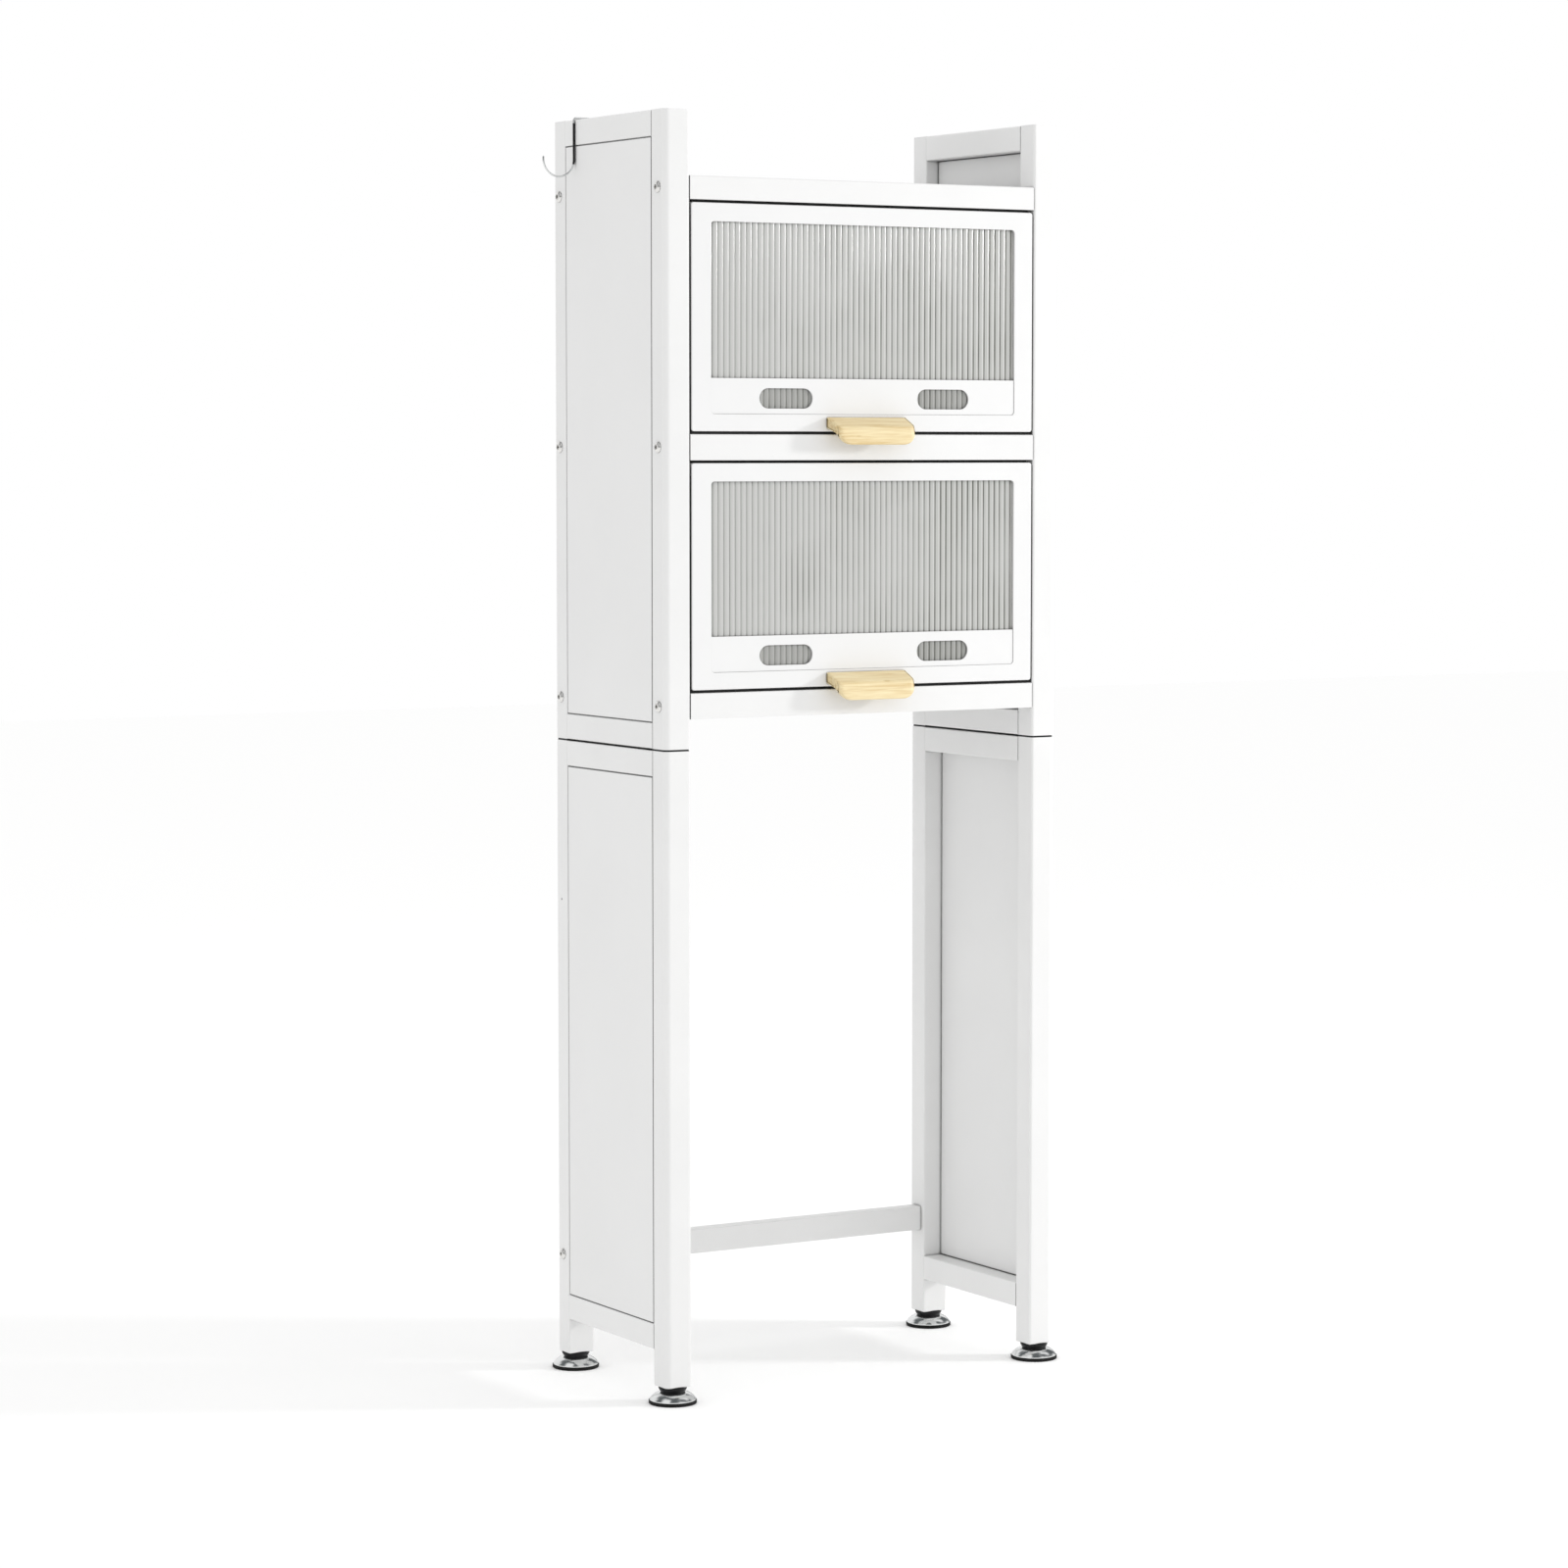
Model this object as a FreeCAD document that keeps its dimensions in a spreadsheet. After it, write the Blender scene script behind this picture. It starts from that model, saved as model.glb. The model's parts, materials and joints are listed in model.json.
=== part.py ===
import FreeCAD, Part
import os

import Sketcher
from FreeCAD import Placement, Rotation, Vector

# An over-the-toilet storage rack: two side frames, each an upper and a lower half, carry three
# shelves and two flap-door cabinets, and stand on four levelling feet.
# Millimetres, +Z up. The origin is on the floor at the centre of the footprint; -Y is the front.

DOC = FreeCAD.newDocument("over_toilet_rack")

DIMENSIONS = {
    # whole rack
    "width": 600, "depth": 300, "top": 1660, "seam": 846.6, "seam_gap": 2.4,
    # posts, their caps, plugs and joiners
    "post_width": 37.5, "post_depth": 34, "post_wall": 1.5, "post_bottom": 22,
    "outer_round": 8, "inner_round": 3.5, "eased_round": 2, "fit_slack": 0.15,
    "cap_thickness": 2.5, "plug_thickness": 3, "insert_length": 20, "plug_edge_round": 1.8,
    "joiner_length": 80, "joiner_wall": 2.5, "joiner_inset": 1,
    # rails and side panels
    "rail_height": 33.3, "rail_wall": 1.5, "rail_edge_round": 2, "bottom_rail_lift": 47,
    "upper_panel_thickness": 18, "lower_panel_thickness": 9.6, "panel_set_back": 0.6,
    "panel_step": 2, "panel_groove": 1.6,
    # shelves, back panels and the low rear crossbar
    "shelf_lip": 33.3, "top_shelf_lip": 30, "bottom_shelf_top": 919.3, "shelf_sheet": 1.5,
    "shelf_end_gap": 0.3, "shelf_edge_round": 2,
    "back_sheet": 1, "back_flange": 12, "back_overlap": 20,
    "crossbar_depth": 20, "crossbar_middle": 155,
    # doors
    "door_gap": 3.6, "door_side_gap": 2.2, "door_height": 290, "door_thickness": 16,
    "door_corner_round": 3.5, "door_edge_round": 1.5, "window_round": 5,
    "stile": 28.3, "top_rail": 23.5, "bottom_rail": 22, "front_skin": 3.5, "rebate": 5,
    "sheet_thickness": 3, "band_height": 46, "band_set_back": 0.8, "band_gap": 0.3,
    "slot_width": 80, "slot_height": 26, "slot_spread": 240, "slot_lift": 42.4,
    "seal_depth": 2, "seal_set_back": 2.5, "seal_slack": 0.6,
    # wooden handle, as distances in front of the door and above its lower edge
    "handle_length": 120, "handle_top": 19.6, "handle_back_low": 4.6,
    "ridge_reach": 29, "ridge_lift": 6, "lip_reach": 34, "lip_drop": 17, "lip_thickness": 8,
    "hollow_reach": 22.5, "hollow_drop": 2, "ridge_round": 6, "lip_corner_round": 20,
    "handle_screw_spread": 70, "handle_screw_lift": 10, "handle_screw_bite": 9,
    "handle_screw": 4, "handle_screw_head": 8, "handle_screw_head_height": 2.4,
    # door pivots and stops
    "hinge_back": 8.5, "hinge_drop": 9, "pin_diameter": 6, "pin_in_door": 12, "pin_in_post": 8,
    "running_slack": 0.05, "bush_diameter": 10, "bush_flange_diameter": 13,
    "bush_flange": 1.2, "stop_width": 9, "stop_depth": 8, "stop_height": 20, "stop_lift": 25,
    "stop_gap": 0.3,
    # bolts and rivet nuts
    "bolt_diameter": 6, "bolt_hole": 6.6, "bolt_head": 14.5, "bolt_head_height": 3.5,
    "bolt_head_top": 10, "socket_across": 5.5, "socket_depth": 2.2, "nut_barrel": 9,
    "nut_collar": 12.5, "nut_collar_length": 2, "nut_length": 12, "accessory_hole": 3,
    "accessory_height": 633,
    # levelling feet: radii and heights above the floor
    "pad_radius": 31.2, "pad_height": 4.6, "pad_chamfer": 0.8, "boss_radius": 15.6,
    "boss_height": 6, "dome_radius": 30.4, "dome_edge": 1.2, "dome_top": 15.4,
    "dome_curve": 22, "dome_wall": 1.2, "collar_radius": 18.6, "collar_waist": 18,
    "foot_clearance": 0.3, "stud_diameter": 8, "stud_top": 58,
    # side hook
    "wire_diameter": 3, "hook_from_rear": 62, "hook_gap": 0.3, "hook_drop": 52,
    "hook_bowl_radius": 22.5, "hook_tip_rise": 2.5, "hook_inner_leg": 18, "hook_corner": 3,
}

SIDES = {"left": -1, "right": 1}
ENDS = {"front": -1, "rear": 1}

CLEAR_HALF = "(Sizes.width / 2 - Sizes.post_width)"
POST_X = "((Sizes.width - Sizes.post_width) / 2)"
POST_Y = "((Sizes.depth - Sizes.post_depth) / 2)"
LOWER_TOP = "(Sizes.seam - Sizes.seam_gap / 2)"
UPPER_BOTTOM = "(Sizes.seam + Sizes.seam_gap / 2)"
LOWER_RAIL_BOTTOM = "(Sizes.post_bottom + Sizes.bottom_rail_lift)"
DOOR_SPACE = "(Sizes.door_height + 2 * Sizes.door_gap)"
MIDDLE_SHELF_TOP = f"(Sizes.bottom_shelf_top + {DOOR_SPACE} + Sizes.shelf_lip)"
TOP_SHELF_TOP = f"({MIDDLE_SHELF_TOP} + {DOOR_SPACE} + Sizes.top_shelf_lip)"
DOOR_HALF = f"({CLEAR_HALF} - Sizes.door_side_gap)"
WINDOW_HALF = f"({DOOR_HALF} - Sizes.stile)"
SHELF_HALF = f"({CLEAR_HALF} - Sizes.shelf_end_gap)"

# the side hook's wire: its plane, its two upright legs, its top, and where its lower bend starts
WIRE_OFF = "(Sizes.hook_gap + Sizes.wire_diameter / 2)"
HOOK_Y = "(Sizes.depth / 2 - Sizes.hook_from_rear)"
HOOK_OUTER = f"(-Sizes.width / 2 - {WIRE_OFF})"
HOOK_INNER = f"({WIRE_OFF} - {CLEAR_HALF})"
HOOK_OVER = f"(Sizes.top + {WIRE_OFF})"
HOOK_BEND = "(Sizes.top - Sizes.hook_drop)"
HOOK_TIP = "(Sizes.top - Sizes.hook_inner_leg)"

# each shelf's top surface and lip height
SHELVES = {
    "bottom_shelf": ("Sizes.bottom_shelf_top", "Sizes.shelf_lip"),
    "middle_shelf": (MIDDLE_SHELF_TOP, "Sizes.shelf_lip"),
    "top_shelf": (TOP_SHELF_TOP, "Sizes.top_shelf_lip"),
}
# the surface of the shelf under each cabinet
CABINETS = {"lower": "Sizes.bottom_shelf_top", "upper": MIDDLE_SHELF_TOP}

SUB_PARTS = []


def make_sheet():
    """The spreadsheet of driving dimensions."""
    sheet = DOC.addObject("Spreadsheet::Sheet", "Sizes")
    for row, (alias, value) in enumerate(DIMENSIONS.items(), start=1):
        sheet.set(f"A{row}", alias)
        sheet.set(f"B{row}", str(value))
        sheet.setAlias(f"B{row}", alias)
    DOC.recompute()
    return sheet


SIZES = make_sheet()


def value(expression):
    """The number that an expression gives now."""
    return float(SIZES.evalExpression(expression.replace("Sizes.", "")))


def sub_part(shape_object):
    """Register a finished sub-part, whose Label names its file."""
    SUB_PARTS.append(shape_object)
    return shape_object


def place(shape_object, x="0", y="0", z="0", rotation=None):
    """Bind an object's position to expressions, after an optional fixed rotation."""
    if rotation:
        shape_object.Placement = Placement(Vector(), rotation)
    for axis, expression in zip("xyz", (x, y, z)):
        shape_object.setExpression(f"Placement.Base.{axis}", expression)
    return shape_object


def new_body(label):
    body = DOC.addObject("PartDesign::Body", label)
    body.Label = label
    return body


def group(label, members):
    """One sub-part made of separate identical solids."""
    compound = DOC.addObject("Part::Compound", label)
    compound.Label = label
    compound.Links = members
    return sub_part(compound)


# ---- sketches -------------------------------------------------------------------------------

def sketch_on(body, role, offset="0"):
    """A sketch on one of the body's own origin planes, moved along that plane's normal."""
    sketch = body.newObject("Sketcher::SketchObject", f"{body.Name}_outline")
    plane = next(f for f in body.Origin.OriginFeatures if f.Role == role)
    sketch.AttachmentSupport = (plane, [""])
    sketch.MapMode = "FlatFace"
    sketch.setExpression("AttachmentOffset.Base.z", offset)
    return sketch


def bind(sketch, kind, *where, expression):
    """Add a dimension to a sketch and bind it to an expression."""
    index = sketch.addConstraint(Sketcher.Constraint(kind, *where, value(expression)))
    sketch.setExpression(f"Constraints[{index}]", expression)


def polygon(sketch, corners):
    """A closed outline through corners given as pairs of expressions."""
    points = [Vector(value(across), value(up), 0) for across, up in corners]
    lines = [
        sketch.addGeometry(Part.LineSegment(start, end), False)
        for start, end in zip(points, points[1:] + points[:1])
    ]
    for line, following in zip(lines, lines[1:] + lines[:1]):
        sketch.addConstraint(Sketcher.Constraint("Coincident", line, 2, following, 1))
    for line, (across, up) in zip(lines, corners):
        bind(sketch, "DistanceX", line, 1, expression=across)
        bind(sketch, "DistanceY", line, 1, expression=up)
    return sketch


def rectangle(sketch, left, right, low, high):
    return polygon(sketch, [(left, low), (right, low), (right, high), (left, high)])


def centred(sketch, half_width, half_height):
    """A rectangle about the sketch's origin."""
    return rectangle(
        sketch, f"-{half_width}", half_width, f"-{half_height}", half_height
    )


def circles(sketch, centres, diameter):
    for across, up in centres:
        middle = Vector(value(across), value(up), 0)
        circle = Part.Circle(middle, Vector(0, 0, 1), value(diameter) / 2)
        index = sketch.addGeometry(circle, False)
        bind(sketch, "DistanceX", index, 3, expression=across)
        bind(sketch, "DistanceY", index, 3, expression=up)
        bind(sketch, "Diameter", index, expression=diameter)
    return sketch


def arc(sketch, start, end, radius):
    """An arc that runs anticlockwise from one pair of expressions to another."""
    first, last = (Vector(value(across), value(up), 0) for across, up in (start, end))
    chord, size = last - first, value(radius)
    rise = size - (size ** 2 - chord.Length ** 2 / 4) ** 0.5
    middle = (first + last) / 2 + Vector(chord.y, -chord.x, 0).normalize() * rise
    index = sketch.addGeometry(Part.Arc(first, middle, last), False)
    for point, (across, up) in ((1, start), (2, end)):
        bind(sketch, "DistanceX", index, point, expression=across)
        bind(sketch, "DistanceY", index, point, expression=up)
    bind(sketch, "Radius", index, expression=radius)
    return index


def join(sketch, *ends):
    """A line between two ends, each a point of an earlier side or a pair of expressions."""
    def position(end):
        if isinstance(end[0], int):
            return sketch.getPoint(*end)
        return Vector(value(end[0]), value(end[1]), 0)

    line = sketch.addGeometry(Part.LineSegment(*map(position, ends)), False)
    for point, end in enumerate(ends, start=1):
        if isinstance(end[0], int):
            sketch.addConstraint(Sketcher.Constraint("Coincident", line, point, *end))
        else:
            bind(sketch, "DistanceX", line, point, expression=end[0])
            bind(sketch, "DistanceY", line, point, expression=end[1])
    return line


# ---- solid features -------------------------------------------------------------------------

def pad(body, sketch, length, both_ways=False, backwards=False):
    feature = body.newObject("PartDesign::Pad", f"{body.Name}_pad")
    feature.Profile = sketch
    feature.setExpression("Length", length)
    feature.Midplane = both_ways
    feature.Reversed = backwards
    DOC.recompute()
    return feature


def pocket(body, sketch, depth=None, both_ways=False, backwards=False):
    """Cut a sketch into the body, right through unless a depth is given."""
    before = body.Shape.Volume
    feature = body.newObject("PartDesign::Pocket", f"{body.Name}_pocket")
    feature.Profile = sketch
    if depth:
        feature.setExpression("Length", depth)
    else:
        feature.Type = "ThroughAll"
    feature.Midplane = both_ways
    feature.Reversed = backwards
    DOC.recompute()
    if body.Shape.Volume >= before - 0.01:
        raise RuntimeError(f"a pocket in {body.Label} removes nothing")
    return feature


def along(direction):
    """Picks straight edges that run along an axis."""
    def matches(edge):
        straight = edge.Curve.TypeId == "Part::GeomLine"
        return straight and abs(edge.tangentAt(edge.FirstParameter).dot(direction)) > 0.999
    return matches


UPRIGHT = along(Vector(0, 0, 1))
FORE_AND_AFT = along(Vector(0, 1, 0))
SIDEWAYS = along(Vector(1, 0, 0))


def fillet(body, radius, chosen):
    """Round the edges of the body so far that a test picks."""
    base = body.Tip
    edges = [
        f"Edge{number}"
        for number, edge in enumerate(base.Shape.Edges, start=1) if chosen(edge)
    ]
    feature = body.newObject("PartDesign::Fillet", f"{body.Name}_fillet")
    feature.Base = (base, edges)
    feature.setExpression("Radius", radius)
    DOC.recompute()
    return feature


def hollow(body, wall, open_faces):
    """Turn the body into sheet metal, open at the faces that a test picks."""
    base = body.Tip
    faces = [
        f"Face{number}"
        for number, face in enumerate(base.Shape.Faces, start=1) if open_faces(face)
    ]
    feature = body.newObject("PartDesign::Thickness", f"{body.Name}_wall")
    feature.Base = (base, faces)
    feature.Reversed = True
    feature.setExpression("Value", wall)
    DOC.recompute()
    return feature


def revolve(body, sketch):
    feature = body.newObject("PartDesign::Revolution", f"{body.Name}_turned")
    feature.Profile = sketch
    feature.ReferenceAxis = (sketch, ["V_Axis"])
    feature.Angle = 360
    DOC.recompute()
    return feature


def faces_along(direction):
    """Picks flat faces whose outward normal is the direction, either way round."""
    return lambda face: abs(face.normalAt(0, 0).dot(direction)) > 0.999


# ---- side frames ----------------------------------------------------------------------------

def side_turn(side):
    """The outer face of every side-frame piece is modelled at -X, as on the left."""
    return Rotation(Vector(0, 0, 1), 180 if side == "right" else 0)


def corner_edges(half_x, half_y, *wanted):
    """Picks a rectangle's upright corner edges, given as pairs of signs, or all four of them."""
    x, y = value(half_x), value(half_y)

    def matches(edge):
        middle = edge.CenterOfMass
        corner = (-1 if middle.x < 0 else 1, -1 if middle.y < 0 else 1)
        at_corner = abs(abs(middle.x) - x) < 0.01 and abs(abs(middle.y) - y) < 0.01
        return at_corner and UPRIGHT(edge) and (not wanted or corner in wanted)
    return matches


def post_blank(body, side, end, length, inset="0", low="0"):
    """A prism with a post's section: its outermost corner has a large round, the other corner of
    its open face a smaller one, and the two corners beside the rails are only eased."""
    half_x = f"(Sizes.post_width / 2 - {inset})"
    half_y = f"(Sizes.post_depth / 2 - {inset})"
    pad(body, centred(sketch_on(body, "XY_Plane", low), half_x, half_y), length)
    open_face = ENDS[end] if side == "left" else -ENDS[end]
    corners = {
        "outer_round": [(-1, open_face)],
        "inner_round": [(1, open_face)],
        "eased_round": [(-1, -open_face), (1, -open_face)],
    }
    for radius, wanted in corners.items():
        fillet(body, f"Sizes.{radius} - {inset} / 2", corner_edges(half_x, half_y, *wanted))


def post_insert(body, low, length):
    """The block that fills a post's tube, from a height upwards."""
    inside = "(Sizes.post_wall + Sizes.fit_slack)"
    half_x = f"(Sizes.post_width / 2 - {inside})"
    half_y = f"(Sizes.post_depth / 2 - {inside})"
    pad(body, centred(sketch_on(body, "XY_Plane", low), half_x, half_y), length)
    fillet(body, "Sizes.outer_round - Sizes.post_wall", corner_edges(half_x, half_y))


def bolt_heights(end):
    """Where bolts pass through a post: one per shelf, and one for the rear crossbar."""
    upper = [f"({top} - {lip} / 2)" for top, lip in SHELVES.values()]
    lower = ["Sizes.crossbar_middle"] if end == "rear" else []
    return upper, lower


def post(side, level, end):
    """A square tube with rounded corners, drilled for the bolts and the door bushes."""
    body = new_body(f"{side}_{level}_{end}_post")
    if level == "upper":
        low, high = UPPER_BOTTOM, "(Sizes.top - Sizes.cap_thickness)"
    else:
        low, high = "(Sizes.post_bottom + Sizes.plug_thickness)", LOWER_TOP
    post_blank(body, side, end, f"{high} - {low}")
    hollow(body, "Sizes.post_wall", faces_along(Vector(0, 0, 1)))
    upper_bolts, lower_bolts = bolt_heights(end)
    heights = upper_bolts if level == "upper" else lower_bolts
    if heights:
        holes = [("0", f"{height} - {low}") for height in heights]
        sketch = circles(sketch_on(body, "YZ_Plane"), holes, "Sizes.bolt_hole")
        pocket(body, sketch, both_ways=True)
    if level == "upper" and end == "front":
        # the posts on both sides are drilled in the wall that faces the doors
        across = "(Sizes.post_depth / 2 - Sizes.hinge_back)"
        across = f"-{across}" if side == "left" else across
        bores = [
            (across, f"{floor} + {DOOR_SPACE} - Sizes.door_gap - Sizes.hinge_drop - {low}")
            for floor in CABINETS.values()
        ]
        sketch = circles(sketch_on(body, "YZ_Plane"), bores, "Sizes.bush_diameter")
        pocket(body, sketch, backwards=True)
    if level == "lower" and end == "rear":
        hole = [("0", f"Sizes.accessory_height - {low}")]
        sketch = circles(sketch_on(body, "YZ_Plane"), hole, "Sizes.accessory_hole")
        pocket(body, sketch)
    place(body, f"{SIDES[side]} * {POST_X}", f"{ENDS[end]} * {POST_Y}", low, side_turn(side))
    return sub_part(body)


def rail(side, level, end):
    """A rectangular tube between the two posts, flush with both their faces."""
    body = new_body(f"{side}_{level}_{end}_rail")
    bottoms = {
        ("upper", "top"): "(Sizes.top - Sizes.rail_height)",
        ("upper", "bottom"): UPPER_BOTTOM,
        ("lower", "top"): f"({LOWER_TOP} - Sizes.rail_height)",
        ("lower", "bottom"): LOWER_RAIL_BOTTOM,
    }
    sketch = rectangle(
        sketch_on(body, "XZ_Plane"),
        "-Sizes.post_width / 2", "Sizes.post_width / 2", "0", "Sizes.rail_height",
    )
    pad(body, sketch, "Sizes.depth - 2 * Sizes.post_depth", both_ways=True)
    fillet(body, "Sizes.rail_edge_round", FORE_AND_AFT)
    hollow(body, "Sizes.rail_wall", faces_along(Vector(0, 1, 0)))
    place(body, f"{SIDES[side]} * {POST_X}", "0", bottoms[level, end], side_turn(side))
    return sub_part(body)


def panel(side, level):
    """A board that fills a side frame, both faces stepped back all round as a fine groove."""
    body = new_body(f"{side}_{level}_panel")
    if level == "upper":
        low, high = f"({UPPER_BOTTOM} + Sizes.rail_height)", "(Sizes.top - Sizes.rail_height)"
    else:
        low = f"({LOWER_RAIL_BOTTOM} + Sizes.rail_height)"
        high = f"({LOWER_TOP} - Sizes.rail_height)"
    half_depth = "(Sizes.depth / 2 - Sizes.post_depth)"
    outer = "-Sizes.post_width / 2 + Sizes.panel_set_back"
    inner = f"-Sizes.post_width / 2 + Sizes.{level}_panel_thickness"
    core = rectangle(
        sketch_on(body, "YZ_Plane", f"{outer} + Sizes.panel_step"),
        f"-{half_depth}", half_depth, "0", f"{high} - {low}",
    )
    pad(body, core, f"{inner} - ({outer}) - 2 * Sizes.panel_step")
    groove = "Sizes.panel_groove"
    for start in (outer, f"{inner} - Sizes.panel_step"):
        face = rectangle(
            sketch_on(body, "YZ_Plane", start),
            f"-({half_depth} - {groove})", f"({half_depth} - {groove})",
            groove, f"{high} - {low} - {groove}",
        )
        pad(body, face, "Sizes.panel_step")
    place(body, f"{SIDES[side]} * {POST_X}", "0", low, side_turn(side))
    return sub_part(body)


def post_cap(side, end):
    """A plug with a thin flange that closes the top of a post."""
    body = new_body(f"{side}_{end}_cap")
    post_insert(body, "-Sizes.insert_length", "Sizes.insert_length")
    post_blank(body, side, end, "Sizes.cap_thickness")
    return place(body, f"{SIDES[side]} * {POST_X}", f"{ENDS[end]} * {POST_Y}",
                 "Sizes.top - Sizes.cap_thickness", side_turn(side))


def foot_plug(side, end):
    """A plug with a rounded flange under a post, tapped for the levelling foot's stud."""
    body = new_body(f"{side}_{end}_foot_plug")
    post_insert(body, "Sizes.plug_thickness", "Sizes.insert_length")
    post_blank(body, side, end, "Sizes.plug_thickness")
    fillet(body, "Sizes.plug_edge_round", lambda edge: edge.CenterOfMass.z < 0.01)
    bore = "Sizes.stud_diameter + 2 * Sizes.running_slack"
    pocket(body, circles(sketch_on(body, "XY_Plane"), [("0", "0")], bore), both_ways=True)
    return place(body, f"{SIDES[side]} * {POST_X}", f"{ENDS[end]} * {POST_Y}",
                 "Sizes.post_bottom", side_turn(side))


def post_joiner(side, end):
    """A hollow spigot inside the seam, with a thin collar between the two posts."""
    body = new_body(f"{side}_{end}_joiner")
    post_insert(body, "-Sizes.joiner_length / 2", "Sizes.joiner_length")
    post_blank(body, side, end, "Sizes.seam_gap", "Sizes.joiner_inset", "-Sizes.seam_gap / 2")
    inside = "(Sizes.post_wall + Sizes.joiner_wall)"
    sketch = centred(
        sketch_on(body, "XY_Plane"),
        f"(Sizes.post_width / 2 - {inside})", f"(Sizes.post_depth / 2 - {inside})",
    )
    pocket(body, sketch, both_ways=True)
    return place(body, f"{SIDES[side]} * {POST_X}", f"{ENDS[end]} * {POST_Y}",
                 "Sizes.seam", side_turn(side))


def side_frames():
    for side in SIDES:
        for level in ("lower", "upper"):
            for end in ENDS:
                post(side, level, end)
            for end in ("top", "bottom"):
                rail(side, level, end)
            panel(side, level)
    corners = [(side, end) for side in SIDES for end in ENDS]
    group("post_top_caps", [post_cap(*corner) for corner in corners])
    group("post_foot_plugs", [foot_plug(*corner) for corner in corners])
    group("post_joiners", [post_joiner(*corner) for corner in corners])


# ---- shelves and cross members --------------------------------------------------------------

def shelf(name, surface, lip):
    """A sheet-metal tray turned upside down, with a lip all round and holes for rivet nuts."""
    body = new_body(name)
    sketch = centred(sketch_on(body, "XY_Plane"), SHELF_HALF, "(Sizes.depth / 2)")
    pad(body, sketch, lip, backwards=True)
    fillet(body, "Sizes.shelf_edge_round",
           lambda edge: edge.CenterOfMass.z > -0.01 and SIDEWAYS(edge))
    hollow(body, "Sizes.shelf_sheet", lambda face: face.normalAt(0, 0).z < -0.999)
    holes = [(f"{sign} * {POST_Y}", f"-{lip} / 2") for sign in ENDS.values()]
    pocket(body, circles(sketch_on(body, "YZ_Plane"), holes, "Sizes.nut_barrel"), both_ways=True)
    return sub_part(place(body, z=surface))


def back_panel(level):
    """A sheet that closes a cabinet's back, folded forward at its foot to sit on the shelf."""
    body = new_body(f"{level}_back_panel")
    rear = "(Sizes.depth / 2 - Sizes.shelf_sheet)"
    front = f"({rear} - Sizes.back_sheet)"
    toe = f"({rear} - Sizes.back_flange)"
    height = f"({DOOR_SPACE} + Sizes.back_overlap)"
    section = polygon(sketch_on(body, "YZ_Plane"), [
        (toe, "0"), (rear, "0"), (rear, height), (front, height),
        (front, "Sizes.back_sheet"), (toe, "Sizes.back_sheet"),
    ])
    pad(body, section, f"2 * ({SHELF_HALF} - Sizes.shelf_sheet)", both_ways=True)
    return sub_part(place(body, z=CABINETS[level]))


def rear_crossbar():
    """A channel that ties the two lower rear posts together behind the toilet."""
    body = new_body("rear_crossbar")
    sketch = centred(sketch_on(body, "XY_Plane"), SHELF_HALF, "(Sizes.crossbar_depth / 2)")
    pad(body, sketch, "Sizes.rail_height", both_ways=True)
    fillet(body, "Sizes.shelf_edge_round",
           lambda edge: SIDEWAYS(edge) and edge.CenterOfMass.y < 0)
    hollow(body, "Sizes.shelf_sheet", lambda face: face.normalAt(0, 0).y > 0.999)
    pocket(body, circles(sketch_on(body, "YZ_Plane"), [("0", "0")], "Sizes.nut_barrel"),
           both_ways=True)
    return sub_part(place(body, y=POST_Y, z="Sizes.crossbar_middle"))


# ---- bolts ----------------------------------------------------------------------------------

def primitive(kind, name, **sizes):
    """A Part primitive whose sizes are expressions."""
    shape_object = DOC.addObject(kind, name)
    for name_of_size, expression in sizes.items():
        shape_object.setExpression(name_of_size, str(expression))
    return shape_object


def boolean(kind, name, base, tool):
    shape_object = DOC.addObject(kind, name)
    shape_object.Base = base
    shape_object.Tool = tool
    return shape_object


def outward(side):
    """Turns a piece made along +Z so that +Z points out of the rack's side."""
    return Rotation(Vector(0, 1, 0), 90 * SIDES[side])


def button_bolt(name, side, y, z):
    """A button-head bolt with a hexagon socket, its head against a post's outer face."""
    length = "(Sizes.post_width + Sizes.shelf_end_gap + Sizes.nut_length)"
    shank = primitive("Part::Cylinder", f"{name}_shank",
                      Radius="Sizes.bolt_diameter / 2", Height=length)
    place(shank, z=f"-{length}")
    head = primitive("Part::Cone", f"{name}_head", Radius1="Sizes.bolt_head / 2",
                     Radius2="Sizes.bolt_head_top / 2", Height="Sizes.bolt_head_height")
    socket = primitive("Part::Prism", f"{name}_socket",
                       Circumradius="Sizes.socket_across / 2", Height="Sizes.socket_depth")
    socket.Polygon = 6
    place(socket, z="Sizes.bolt_head_height - Sizes.socket_depth")
    whole = boolean("Part::Fuse", f"{name}_blank", head, shank)
    bolt = boolean("Part::Cut", name, whole, socket)
    return place(bolt, f"{SIDES[side]} * Sizes.width / 2", y, z, outward(side))


def rivet_nut(name, side, y, z):
    """A threaded barrel set in the end flange of a shelf or crossbar, collar on the inside."""
    barrel = primitive("Part::Cylinder", f"{name}_barrel",
                       Radius="Sizes.nut_barrel / 2", Height="Sizes.nut_length")
    collar = primitive("Part::Cylinder", f"{name}_collar",
                       Radius="Sizes.nut_collar / 2", Height="Sizes.nut_collar_length")
    place(collar, z="Sizes.nut_length - Sizes.shelf_sheet - Sizes.nut_collar_length")
    bore = primitive("Part::Cylinder", f"{name}_bore",
                     Radius="Sizes.bolt_diameter / 2", Height="Sizes.nut_length")
    nut = boolean("Part::Cut", name, boolean("Part::Fuse", f"{name}_blank", barrel, collar), bore)
    inner_end = f"{SIDES[side]} * ({SHELF_HALF} - Sizes.nut_length)"
    return place(nut, inner_end, y, z, outward(side))


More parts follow.
